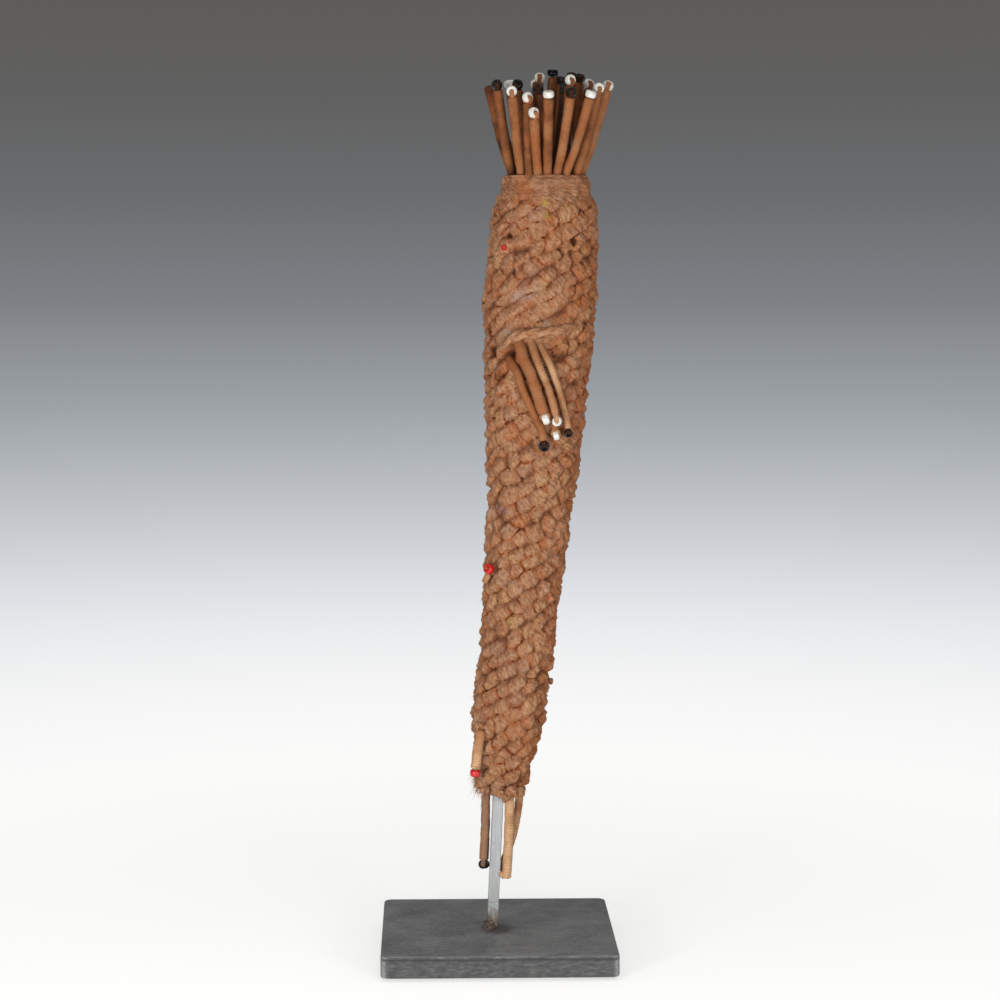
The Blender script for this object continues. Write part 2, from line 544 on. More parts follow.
def plate_shade():
    """Blackened steel plate, mottled, with fine rub marks, worn rims and scorched round the weld."""
    shade = Shade("blackened_steel", Metallic=0.0, Specular_IOR_Level=0.5)
    side, top = PLATE_HIGH.x, PLATE_HIGH.z
    shade.body = shade.ramp(shade.noise(55.0, 5.0, 0.62, 0.5), (0.34, (0.185, 0.188, 0.190)),
                            (0.52, (0.254, 0.256, 0.257)), (0.70, (0.325, 0.325, 0.322)))
    grain = shade.noise(900.0, 4.0, 0.75)
    streaks = shade.noise(1.0, 4.0, 0.65, vector=shade.stretched(60.0, 1500.0, 1500.0))
    ways = shade.parts()
    onward = shade.sum("MULTIPLY", shade.sum("ADD", ways["Y"], 0.0042), 0.75)
    middle = shade.sum("ADD", shade.sum("POWER", ways["X"], 2.0), shade.sum("POWER", onward, 2.0))
    scorch = shade.sum("ADD", shade.sum("SQRT", middle), shade.span(grain, 0.3, 0.7, -0.001, 0.001))
    edge = shade.sum("MAXIMUM", shade.sum("ABSOLUTE", ways["X"]), shade.sum("ABSOLUTE", ways["Y"]))
    brushed = shade.noise(1.0, 5.0, 0.72, vector=shade.stretched(260.0, 260.0, 760.0))
    sides = shade.ramp(brushed, (0.34, (0.040, 0.040, 0.040)), (0.50, (0.068, 0.068, 0.067)),
                       (0.68, (0.130, 0.129, 0.126)))
    rim = shade.sum("MULTIPLY", shade.span(edge, side - 0.0010, side - 0.0002),
                    shade.span(ways["Z"], top - 0.0011, top - 0.0003))
    worn = shade.sum("MULTIPLY", rim, shade.span(shade.noise(190.0, 4.0, 0.65), 0.50, 0.66))
    under_rim = shade.sum("MULTIPLY", shade.span(ways["Z"], top - 0.0024, top - 0.0014),
                          shade.span(ways["Z"], top - 0.0008, top - 0.0012))
    shade.layers((grain, 0.54, 0.68, 0.62, (0.46, 0.46, 0.45)),
                 (grain, 0.46, 0.32, 0.62, (0.080, 0.081, 0.082)),
                 (streaks, 0.48, 0.30, 0.60, (0.075, 0.076, 0.077)),
                 (scorch, 0.0088, 0.0040, 0.72, (0.055, 0.038, 0.028)),
                 (edge, side - 0.0006, side - 0.0001, 1.0, sides),
                 (worn, 0.0, 1.0, 0.7, (0.27, 0.27, 0.262)),
                 (under_rim, 0.0, 1.0, 0.85, (0.022, 0.022, 0.023)))
    return shade.done(shade.span(shade.noise(130.0, 5.0, 0.65), 0.3, 0.7, 0.38, 0.56),
                      (shade.noise(260.0, 4.0, 0.6), 0.00016, 0.5), (streaks, 0.00005, 0.5),
                      (grain, 0.00004, 0.5))


def bar_shade():
    """Pale brushed bar, brownish where it was heated next to the plate."""
    shade = Shade("brushed_bar", Metallic=0.40, Specular_IOR_Level=0.5)
    lines = shade.noise(1.0, 4.0, 0.6, vector=shade.stretched(2600.0, 2600.0, 90.0))
    shade.body = shade.ramp(lines, (0.30, (0.32, 0.33, 0.34)), (0.55, (0.43, 0.435, 0.44)),
                            (0.75, (0.55, 0.555, 0.55)))
    spots = shade.noise(330.0, 4.0, 0.7)
    wavy = shade.sum("ADD", shade.parts()["Z"], shade.span(spots, 0.3, 0.7, -0.005, 0.005))
    shade.layers((spots, 0.60, 0.74, 0.50, (0.17, 0.165, 0.16)),
                 (wavy, PLATE_HIGH.z + 0.0120, PLATE_HIGH.z + 0.0040, 1.0, (0.150, 0.118, 0.092)))
    return shade.done(shade.span(lines, 0.3, 0.7, 0.36, 0.52), (lines, 0.00005, 0.6))


def weld_shade():
    shade = Shade("weld_scale", Metallic=0.3, Specular_IOR_Level=0.4)
    lumps = shade.noise(520.0, 4.0, 0.7, 0.6)
    shade.body = shade.ramp(lumps, (0.30, (0.045, 0.034, 0.028)), (0.50, (0.145, 0.100, 0.072)),
                            (0.66, (0.27, 0.22, 0.18)), (0.80, (0.42, 0.40, 0.37)))
    return shade.done(shade.span(lumps, 0.3, 0.7, 0.62, 0.38), (lumps, 0.00035, 0.9))


def felt_shade():
    shade = Shade("felt_pad", Sheen_Weight=0.3)
    fluff = shade.noise(2100.0, 4.0, 0.75)
    shade.body = shade.ramp(fluff, (0.30, (0.028, 0.018, 0.012)), (0.70, (0.095, 0.066, 0.046)))
    return shade.done(shade.span(fluff, 0.3, 0.7, 0.9, 1.0), (fluff, 0.00020, 0.8))


def cob_shade():
    shade = Shade("dry_cob", Specular_IOR_Level=0.2)
    cells = shade.add("ShaderNodeTexVoronoi", {"Vector": shade.place, "Scale": 330.0}).outputs["Distance"]
    shade.body = shade.ramp(cells, (0.10, (0.33, 0.21, 0.11)), (0.60, (0.16, 0.085, 0.042)))
    shade.layers((shade.noise(240.0), 0.45, 0.65, 0.6, (0.10, 0.05, 0.026)))
    return shade.done(shade.span(cells, 0.1, 0.6, 0.85, 0.97), (cells, 0.0006, 0.8))


def fibre_shade():
    shade = Shade("loose_fibre", Specular_IOR_Level=0.2, Sheen_Weight=0.1)
    shade.body = shade.ramp(shade.noise(700.0, 2.0), (0.35, (0.34, 0.145, 0.063)),
                            (0.50, (0.48, 0.235, 0.112)), (0.66, (0.62, 0.41, 0.24)))
    return shade.done(shade.span(shade.noise(2000.0), 0.3, 0.7, 0.7, 0.9))


# Sheath of knotted cord
def knot_centres():
    """Places of the knots on the unrolled body, with the band that each belongs to."""
    rows = int(BODY_HEIGHT / KNOT_PITCH) + 12
    reach = int(math.pi * BODY_RADIUS / KNOT_WIDTH) + 2
    for band in range(-12, rows + 12):
        for step in range(-reach, reach + 1):
            height = BODY_BOTTOM + (band + step * KNOT_CLIMB + 0.2) * KNOT_PITCH
            share, across = share_at(height), (step + 0.35) * KNOT_WIDTH
            if -0.02 < share < 1.005 and (
                    abs(across) < math.pi * girth(min(max(share, 0), 1)) + 0.2 * KNOT_WIDTH):
                yield band, across, height


def chest_share(turn, share):
    """How far the cord lies in smooth strands at a point, from 0 to 1."""
    across = fade(34 - abs(turn + 12), -14, 8)
    return across * fade(share, 0.735, 0.762) * fade(0.872 - share, 0.0, 0.03)


def sheath_relief(shares, turns, points):
    """At each grid point: the highest cord and the next with their bands, the knot's tint, hue and
    frame, and the point's place on the unrolled body."""
    heights, waist = height_at(shares), girth(shares)
    across = waist[:, None] * np.radians(turns) + KNOT_DRIFT * waves(points, 0.021, 5)
    upright = heights[:, None] + KNOT_DRIFT * waves(points, 0.024, 6)
    shape = across.shape
    best, after = np.full((2, *shape), -1.0)
    best_band, after_band = np.full((2, *shape), -99)
    tint, hue, owner = np.zeros(shape), np.zeros(shape), np.zeros((*shape, 4))
    draw = np.random.default_rng(11)
    slope = math.atan(KNOT_CLIMB * KNOT_PITCH / KNOT_WIDTH)
    for band, place, height in knot_centres():
        jitter = np.clip(draw.normal(size=9), -2.2, 2.2)
        place += jitter[0] * KNOT_JITTER
        height += jitter[1] * KNOT_JITTER
        share = min(max(share_at(height), 0), 1)
        smooth = float(chest_share(math.degrees(place / girth(share)), share))
        angle = slope + math.radians(11) * jitter[2] * (1 - smooth)
        half_length = KNOT_HALF_LENGTH * (1 + 0.16 * jitter[3]) * (1 - smooth) + ROPE_HALF_LENGTH * smooth
        half_width = KNOT_HALF_WIDTH * (1 + 0.09 * jitter[6] * (1 - smooth) - 0.08 * smooth)
        rows = np.nonzero(np.abs(heights - height) < KNOT_ROW_REACH)[0]
        if not len(rows):
            continue
        radius = waist[rows[len(rows) // 2]]
        columns = np.nonzero(np.abs(np.radians(turns) * radius - place) < KNOT_COLUMN_REACH)[0]
        if not len(columns):
            continue
        area = (slice(rows[0], rows[-1] + 1), slice(columns[0], columns[-1] + 1))
        offset, rise = across[area] - place, upright[area] - height
        along = (offset * math.cos(angle) + rise * math.sin(angle)) / half_length
        over = (rise * math.cos(angle) - offset * math.sin(angle)) / half_width
        top = KNOT_TOP * jitter[4] * (1 - 0.6 * smooth)
        drop = KNOT_DEPTH * (0.60 * np.abs(along) ** 3.0 + 0.84 * np.abs(over) ** 2.7)
        value = top - drop - KNOT_TILT * over
        first = value > best[area]
        second = ~first & (value > after[area])
        for low, high, new in ((after, best, value), (after_band, best_band, band)):
            low[area] = np.where(first, high[area], np.where(second, new, low[area]))
            high[area] = np.where(first, new, high[area])
        tint[area][first], hue[area][first] = jitter[5], jitter[7]
        owner[area][first] = place, height, angle, jitter[8]
    return best, after, best_band, after_band, tint, hue, owner, across, upright


def knot_frame(owner, across, upright):
    """Places along and over the knot that owns each point."""
    place, height, angle, offset = np.moveaxis(owner, -1, 0)
    aside, rise = across - place, upright - height
    return np.stack([aside * np.cos(angle) + rise * np.sin(angle) + offset,
                     rise * np.cos(angle) - aside * np.sin(angle)], -1)


def knot_weave(owner, across, upright, waist):
    """Corner coordinates of the sheath, each face's in the frame of the knot that it belongs to."""
    across = np.concatenate([across, across[:, :1] + 2 * math.pi * waist], 1)
    upright = np.concatenate([upright, upright[:, :1]], 1)
    here, onward = slice(None, -1), slice(1, None)
    return np.stack([knot_frame(owner[:-1], across[corner], upright[corner]) for corner in (
        (here, here), (here, onward), (onward, onward), (onward, here))], 2)


def fold_seam(field, other, keep):
    """Join the two ends of the unrolled body, keeping the higher cord."""
    folded = field[:, INNER].copy()
    folded[:, RIGHT] = np.where(keep[:, LEFT], other[:, LEFT], folded[:, RIGHT])
    folded[:, LEFT] = np.where(keep[:, RIGHT], other[:, RIGHT], folded[:, LEFT])
    return folded


def spot_mask(shares, turns, spots):
    """Soft round patches on the body, each a turn, a height share, a radius and a strength."""
    total = np.zeros((len(shares), len(turns)))
    for turn, share, radius, strength in spots:
        aside = np.radians(turns - turn) * girth(share)
        rise = (shares - share)[:, None] * BODY_HEIGHT
        total += strength * np.exp(-(aside ** 2 + rise ** 2) / radius ** 2)
    return total


def end_rings(centre_x, radius, angles, core_share, height, steps):
    """Rings that close an end of the sheath round the core, each at a share of the way and a rise."""
    reach = CORE_RADIUS * core_share + FIT_GAP - radius
    return [round_grid(centre_x, radius + reach * inset, angles, height + rise)[None]
            for inset, rise in steps]


def widened(field):
    """The field of the sheath's grid with that of the rows at its closed ends."""
    return np.pad(field, ((END_ROWS, END_ROWS), *((0, 0),) * (field.ndim - 1)), mode="edge")


def make_sheath(material):
    turns = np.arange(-SEAM_COLUMNS, SHEATH_COLUMNS + SEAM_COLUMNS) * 360 / SHEATH_COLUMNS - 180
    shares = np.linspace(0, 1, SHEATH_ROWS)
    rows = shares[:, None]
    waist, centre = girth(rows), axis_x(rows)
    skin = round_grid(centre, waist, np.radians(turns), height_at(rows))
    *fields, owner, across, upright = sheath_relief(shares, turns, skin)
    best, main = fields[0], fields[0][:, INNER]
    keep = np.zeros(best.shape, bool)
    keep[:, LEFT] = best[:, LEFT] > main[:, RIGHT]
    keep[:, RIGHT] = best[:, RIGHT] > main[:, LEFT]
    relief, next_relief, band, next_band, tint, hue = (fold_seam(field, field, keep) for field in fields)
    shifted = owner.copy()
    shifted[..., 0] += 2 * math.pi * waist * np.where(turns < 0, 1, -1)
    owner = fold_seam(owner, shifted, keep[..., None])
    turns, skin, across, upright = turns[INNER], skin[:, INNER], across[:, INNER], upright[:, INNER]
    angles = np.radians(turns)

    same = np.where(band == next_band, 0.70 - 0.60 * chest_share(turns, rows), 1.0)
    patchy = np.clip(0.72 + 0.55 * waves(skin, 0.0065, 25), 0.08, 1.15)
    crease = same * patchy * np.exp(-(relief - next_relief) / CREASE_WIDTH)
    relief = relief * (1 - 0.40 * fade(rows, 0.905, 0.955)) - CREASE_DEPTH * crease
    relief += KNOT_TOP * fade(rows, 0.0, 0.04) * (1 - fade(rows, 0.955, 0.99))
    along, over = np.moveaxis(knot_frame(owner, across, upright), -1, 0)
    relief += STRAND_RELIEF * (np.abs(np.sin(math.pi * (along + STRAND_SHEAR * over) / STRAND_PITCH)) - 0.6)
    relief += 0.00024 * waves(skin, 0.016, 21) + 0.00022 * waves(skin, 0.0042, 22)
    relief += 0.00019 * waves(skin, 0.0023, 23)
    holes = spot_mask(shares, turns, DARK_SPOTS)
    relief -= HOLE_DEPTH * holes
    under_arms = fade(34 - np.abs(turns - 2), 0, 8) * fade(rows, 0.60, 0.62) * fade(0.79 - rows, 0, 0.02)
    ceiling = RELIEF_CEILING * (1 - under_arms) + CEILING_UNDER_ARMS * under_arms
    relief = np.minimum(relief, ceiling)
    pocket_across = np.abs(turns - ARM_POCKET_TURN) / ARM_POCKET_HALF_TURN
    pocket_along = (rows - ARM_POCKET_SHARE) * BODY_HEIGHT / ARM_POCKET_HALF_HEIGHT
    ramp = np.clip(1 - np.maximum(pocket_across, np.abs(pocket_along)), 0, 0.3) / 0.3
    deeper = (ARM_POCKET_DEPTH - ARM_POCKET_RIM_DEPTH) * fade(pocket_along, -0.05, 0.75)
    pocket = ramp * (ARM_POCKET_RIM_DEPTH + deeper)
    lit = np.clip(0.74 + relief / 0.0028 - 0.6 * holes, 0, 1)
    lit = lit * (1 - 0.55 * np.clip(pocket / ARM_POCKET_DEPTH, 0, 1) ** 2)
    floor = ceiling * (1 - ramp) - pocket + 0.00035 * waves(skin, 0.004, 31) * (pocket > 0)
    relief = np.minimum(relief - 0.6 * pocket, floor)
    relief = np.maximum(relief, CORE_RADIUS * smooth_value(CORE_SHARES, 1, rows) + FIT_GAP - waist)
    relief = relief * (1 - 0.7 * fade(rows, 0.975, 1.0))

    radius = waist + relief
    grid = round_grid(centre, radius, angles, skin[..., 2])
    points = np.concatenate([
        *end_rings(centre[0], radius[0], angles, CORE_SHARES[0, 1], BODY_BOTTOM, FOOT_RINGS), grid,
        *end_rings(centre[-1], radius[-1], angles, CORE_SHARES[-1, 1], BODY_HIGH.z, TOP_RINGS)])
    warm = spot_mask(shares, turns, RUST_SPOTS) * (0.7 + 0.5 * waves(skin, 0.004, 51))
    warm += np.exp(-((turns - 82) / 34) ** 2) * (0.80 + 0.40 * waves(skin, 0.012, 52))
    marks = {label: spot_mask(shares, turns, spots) for label, spots in MARKS.items()}
    values = {"relief": lit, "tint": 0.38 + 0.30 * tint, "hue": 0.50 + 0.20 * hue}
    for label, field in {"crease": crease + 0.8 * holes, "warm": warm, **marks}.items():
        values[label] = np.clip(field, 0, 1)
    values = {label: widened(field) for label, field in values.items()}
    values["relief"][:END_ROWS] *= 0.5
    weave = knot_weave(*(widened(field) for field in (owner, across, upright, waist)))
    sheath = mesh_object("sheath_of_knots", points, [grid_faces(*points.shape[:2])], material, values, weave)
    place_piece(sheath, "doll", "knotted_cord", "knotted_sheath")
    return grid


# Thread-bound locks
def smooth_route(points, steps):
    """Points of a Catmull-Rom curve through a route."""
    points = [np.asarray(point, float) for point in points]
    padded = [2 * points[0] - points[1], *points, 2 * points[-1] - points[-2]]
    curve = []
    for a, b, c, d in zip(padded, padded[1:], padded[2:], padded[3:]):
        for t in np.arange(steps) / steps:
            curve.append((2 * b + (c - a) * t + (2 * a - 5 * b + 4 * c - d) * t ** 2
                          + (3 * b - a - 3 * c + d) * t ** 3) / 2)
    return np.array(curve + [points[-1]])


def even_route(points, step):
    """The same route with points an even step apart, and their distances along it."""
    lengths = np.concatenate([[0], np.cumsum(np.linalg.norm(np.diff(points, axis=0), axis=1))])
    places = np.linspace(0, lengths[-1], max(int(lengths[-1] / step), 4))
    return np.stack([np.interp(places, lengths, points[:, axis]) for axis in range(3)], -1), places


def tube(line, radii, sides):
    """Grid of points round a line that doesn't twist, with a radius for each point or grid point."""
    ways = units(np.gradient(line, axis=0))
    side = unit(np.cross(ways[0], (0.0, 1.0, 0.0) if abs(ways[0][1]) < 0.9 else (1.0, 0.0, 0.0)))
    first = []
    for way in ways:
        side = unit(side - way * side.dot(way))
        first.append(side)
    first = np.array(first)
    second = np.cross(ways, first)
    angles = ring_angles(sides)
    radii = radii if radii.ndim == 2 else radii[:, None]
    return (line[:, None] + first[:, None] * (np.cos(angles) * radii)[..., None]
            + second[:, None] * (np.sin(angles) * radii)[..., None])


def bound_lock(route, radius, tip_radius, seed, extra=0.0):
    """Points, reliefs and distances of a lock wound in thread, rounded over at both ends."""
    route = smooth_route(route, 6)
    back, ahead = unit(route[0] - route[1]), unit(route[-1] - route[-2])
    route = np.concatenate([[route[0] + back * radius * 0.98], route,
                            [route[-1] + ahead * (tip_radius + extra)]])
    line, places = even_route(route, THREAD_PITCH / 4)
    length = places[-1]
    base = radius + (tip_radius - radius) * places / length
    base = base * (1 + 0.022 * line_waves(places, 0.009, seed))
    for reach, near in ((radius, places), (tip_radius * 0.60, length - places)):
        inside = np.clip(near / reach, 0, 1)
        base = base * np.sqrt(np.clip(1 - (1 - inside) ** 2.2, 0.02, 1))
    angles = np.arange(LOCK_SIDES) / LOCK_SIDES
    start = np.random.default_rng(seed).uniform()
    drift = 0.13 * line_waves(places, 0.004, seed + 1)
    wound = np.abs(np.sin(math.pi * (places[:, None] / THREAD_PITCH + angles + drift[:, None] + start)))
    grid = line[:, None] + np.zeros((1, LOCK_SIDES, 1))
    uneven = 0.022 * waves(grid + angles[:, None] * 0.004, 0.0032, seed + 2)
    radii = base[:, None] * (1 + uneven) + THREAD_RIDGE * (wound ** 0.7 - 0.75)
    return tube(line, radii, LOCK_SIDES), wound ** 0.8, places


def plain_strand(route, radius, seed):
    """Grid, relief and places of a thin single thread, with tapered ends."""
    line, places = even_route(smooth_route(route, 8), 0.00025)
    taper = np.sqrt(np.clip(np.minimum(places, places[-1] - places) / radius, 0.05, 1))
    turned = places / THREAD_TWIST * math.pi
    relief = np.clip(0.75 + 0.25 * np.sin(turned), 0, 1)[:, None]
    return tube(line, radius * taper * (1 + 0.10 * np.sin(turned + seed)), STRAND_SIDES), relief, places


def grid_piece(parts, name, material, hue=0.42):
    """One mesh from several closed grids, each of points, relief, places and tint."""
    points, quads, ends, reliefs, tints, weaves, start = [], [], [], [], [], [], 0
    for grid, relief, places, tint in parts:
        rows, sides = grid.shape[:2]
        points += [grid.reshape(-1, 3), np.stack([grid[0].mean(0), grid[-1].mean(0)])]
        quads.append(grid_faces(rows, sides) + start)
        ring, middle = start + np.arange(sides), start + rows * sides
        after, last = start + (np.arange(sides) + 1) % sides, (rows - 1) * sides
        ends += [np.stack([np.full(sides, middle), after, ring], -1),
                 np.stack([np.full(sides, middle + 1), ring + last, after + last], -1)]
        tint = np.broadcast_to(tint, (rows, sides))
        reliefs += [np.broadcast_to(relief, (rows, sides)).ravel(), [0.8, 0.8]]
        tints += [tint.ravel(), tint[[0, -1], 0]]
        weaves.append(grid_weave(np.arange(sides + 1) / sides * 0.01, places).reshape(-1, 2))
        start += rows * sides + 2
    points, quads, ends, reliefs, tints = (
        np.concatenate(part) for part in (points, quads, ends, reliefs, tints))
    weave = np.concatenate([*weaves, np.zeros((3 * len(ends), 2))])
    values = {"relief": reliefs, "tint": tints, "hue": np.full(len(tints), hue)}
    return mesh_object(name, points, [quads, ends], material, values, weave)


# Beads
def make_bead(name, centre, hole, size, colour, body, node):
    """Glass ring bead with a rounded section."""
    hole = unit(hole)
    draw = np.random.default_rng(len(name) + int(centre[0] * 1e6) % 97)
    outer, bore = BEAD_DIAMETER * size / 2 * draw.uniform(0.97, 1.03), BEAD_BORE / 2
    half = BEAD_LENGTH * size / 2 * draw.uniform(0.95, 1.05)
    spokes, section = ring_angles(30), ring_angles(14)
    square, tall = (np.sign(wave) * np.abs(wave) ** 0.86 for wave in (np.cos(section), np.sin(section)))
    wide = square * (outer - bore) / 2 + (outer + bore) / 2
    first = unit(np.cross(hole, (0.0, 0.0, 1.0) if abs(hole[2]) < 0.9 else (1.0, 0.0, 0.0)))
    ways = first * np.cos(spokes)[:, None] + np.cross(hole, first) * np.sin(spokes)[:, None]
    grid = centre + ways[:, None] * wide[:, None] + hole * (tall * half)[:, None]
    bead = mesh_object(name, grid, [ring_faces(*grid.shape[:2])], GLASS[colour])
    return place_piece(bead, body, f"{colour}_glass", node)


def bead_place(end, direction, end_radius, pose, seat, size, lean, swing):
    """Centre and hole axis of a bead, and how much longer its lock has to be to reach it."""
    across, half = BEAD_DIAMETER * size / 2, BEAD_LENGTH * size / 2
    if pose == "flat":
        return end + direction * (end_radius + seat + half), direction, seat
    facing = np.array((0.0, -1.0, 0.0)) if pose == "ring" else np.array((1.0, 0.0, 0.0))
    facing = unit(facing - direction * facing.dot(direction))
    facing = facing * math.cos(swing) + np.cross(direction, facing) * math.sin(swing)
    hole = direction * math.cos(lean) + facing * math.sin(lean)
    reach = math.hypot(half * math.cos(lean), across * math.sin(lean))
    return end + direction * (end_radius + seat + across), hole, across - reach + seat + 0.00018


def bead_threads(centre, hole, direction, size, pose, seed):
    """Two threads side by side that hold a bead, over its rim and through its hole, or one in a flat bead."""
    outer, half = BEAD_DIAMETER * size / 2, BEAD_LENGTH * size / 2
    if pose == "flat":
        route = [centre - hole * (half + 0.0006), centre, centre + hole * (half + 0.00012)]
        return [plain_strand(route, BEAD_BORE / 2 * 0.95, seed)]
    below = unit(hole * direction.dot(hole) - direction)
    foot = centre - direction * (outer + 0.0009)
    strands = []
    for number, shift in enumerate((-0.00043, 0.00043)):
        aside = np.cross(hole, below) * shift
        near, far = ([foot + way * 0.0003 + aside,
                      centre + below * (outer * 0.96) + way * half * 0.80 + aside,
                      centre + below * (outer * 0.60) + way * (half + LOOP_RADIUS * 0.45) + aside,
                      centre + way * half * 0.92 + aside * 0.7] for way in (hole, -hole))
        strands.append(plain_strand([*near, centre + aside * 0.3, *far[::-1]], LOOP_RADIUS, seed + number))
    return strands


def make_lock(name, route, radii, tint, seed, material, body, slot, node, bead=None, more=()):
    """A bound lock with its bead, given as name, colour, pose, size, node, seat, lean and swing."""
    route = [np.asarray(point, float) for point in route]
    threads, extra = [], 0.0
    if bead:
        bead_name, colour, pose, size, bead_node, seat, lean, swing = bead
        direction = unit(route[-1] - route[-2])
        centre, hole, extra = bead_place(route[-1], direction, radii[1], pose, seat, size,
                                         math.radians(lean), math.radians(swing))
        shade = -0.1 if colour == "black" else min(tint + 0.12, 0.85)
        threads = [(*strand, shade) for strand in bead_threads(centre, hole, direction, size, pose, seed)]
        make_bead(bead_name, centre, hole, size, colour, body, bead_node)
    grid, relief, places = bound_lock(route, *radii, seed, extra)
    tints = tint + 0.05 * line_waves(places, 0.012, seed + 7)[:, None]
    lock = grid_piece([(grid, relief, places, tints), *threads, *more], name, material)
    return place_piece(lock, body, slot, node)


def tuft_centre_x(height):
    return axis_x(1.0) + TUFT_LEAN_STEP * (height - height_at(1.0)) / TUFT_HEIGHT


def hair_route(row, rise):
    root_turn, root_share, tip_turn, tip_share, height_share = row[:5]
    low = height_at(1.0) + FIT_GAP
    rim = low + COLLAR_HEIGHT
    high = low + TUFT_HEIGHT * height_share - LOCK_TIP_RADIUS
    route = [around(axis_x(1.0), low + LOCK_RADIUS + rise, root_turn, TUFT_ROOT_RADIUS * root_share),
             around(tuft_centre_x(rim), rim, root_turn, TUFT_ROOT_RADIUS * root_share)]
    root = route[1] - np.array((tuft_centre_x(rim), 0, 0))
    tip = around(0, high, tip_turn, TUFT_TIP_RADIUS * tip_share)
    for level in HAIR_LEVELS:
        height = rim + (high - rim) * level
        place = root + (tip - root) * level ** HAIR_FLARE_POWER
        route.append(np.array((tuft_centre_x(height) + place[0], place[1], height)))
    return route


def make_hair(thread):
    for kind, label, rows, seed, rise, seat in HAIR_SETS:
        for number, row in enumerate(rows, 1):
            colour, pose, tint, lean, swing = row[5:]
            node = "inner_hair" if kind == "inner" else f"{kind}_hair_{number:02d}"
            bead_node = f"front_hair_bead_{number:02d}" if kind == "front" else node
            bead = colour and (f"{label}_bead_{number:02d}", colour, pose, 1.0, bead_node, seat, lean, swing)
            make_lock(f"{label}_lock_{number:02d}", hair_route(row, rise),
                      (LOCK_RADIUS, LOCK_TIP_RADIUS), tint, seed + number, thread,
                      "doll", "bound_thread", node, bead)


def make_arms(thread, cord):
    for number, (share, places, colour, pose, size, tint) in enumerate(ARMS, 1):
        radius = ARM_LOCK_RADIUS * share
        route = smooth_route([on_body(turn, height, FIT_GAP + radius + lift * ARM_POCKET_DEPTH)
                              for turn, height, lift in places], 2)
        route = [route[0] + unit(route[0] - route[1]) * ARM_ROOT_EXTRA, *route]
        bead = (f"arm_bead_{number}_glass", colour, pose, size, f"arm_bead_{number}", FIT_GAP, 90, 0)
        make_lock(f"arm_{number}_bound", route, (radius, radius), tint, 60 + number, thread, f"arm_{number}",
                  "bound_thread", f"arm_lock_{number}", bead)
    lift = FIT_GAP + ARM_STRAND_RADIUS - STRAND_DROP * 0.6
    points = [on_body(turn, share, lift + out * ARM_POCKET_DEPTH) - np.array((0, 0, STRAND_DROP))
              for turn, share, out in ARM_STRAND_ROUTE]
    line, places = even_route(smooth_route(points, 8), 0.0004)
    ends = np.minimum(places, places[-1] - places) / 0.006
    sides, middle = 20, line[:, None]
    grid = tube(line, ARM_STRAND_RADIUS * np.sqrt(np.clip(ends, 0.04, 1)), sides)
    plies = np.abs(np.sin(np.arange(sides) * math.pi * 1.5 / 10 + places[:, None] * math.pi / 0.0075))
    lumps = 0.93 + 0.16 * plies ** 0.6 + 0.05 * waves(grid, 0.0045, 71) + 0.04 * waves(grid, 0.0019, 72)
    grid = middle + (grid - middle) * lumps[..., None]
    relief = np.clip(0.15 + 1.1 * plies + 0.15 * waves(grid, 0.003, 73), 0, 1)
    strand = grid_piece([(grid, relief, places, 0.45)], "strand_over_arms", cord)
    place_piece(strand, "doll", "knotted_cord", "arm_strand")


def make_legs(thread, dusty):
    for number, (name, share, turn, spread, sideways, length, colour, tint) in enumerate(LEGS):
        radius = LEG_RADIUS * share
        root = around(axis_x(0.0), BODY_BOTTOM - FIT_GAP - radius, turn, girth(0.0) * spread)
        tip = root + LEG_LENGTH * np.array((sideways, 0.0, -length))
        bow = np.array((-sideways * LEG_LENGTH * LEG_BOW_SHARE, 0.0, 0.0))
        route = smooth_route([root, root + (tip - root) * 0.33 + bow,
                              root + (tip - root) * 0.67 + bow, tip], 2)
        bead = colour and (f"leg_{name}_glass", colour, "ring", 0.85, f"leg_bead_{name}", FIT_GAP, 70, 0)
        hook = []
        if not colour:
            ends = [tip, *(tip + np.array(step) for step in LEG_HOOK)]
            hook = [(*bound_lock(ends, radius * 0.62, radius * 0.50, 89), 1.0)]
        material, slot = (thread, "pale_thread") if name.startswith("right") else (dusty, "bound_thread")
        make_lock(f"leg_{name}_bound", route, (radius, radius), tint, 80 + number, material,
                  f"leg_{name}", slot, f"leg_lock_{name}", bead, hook)


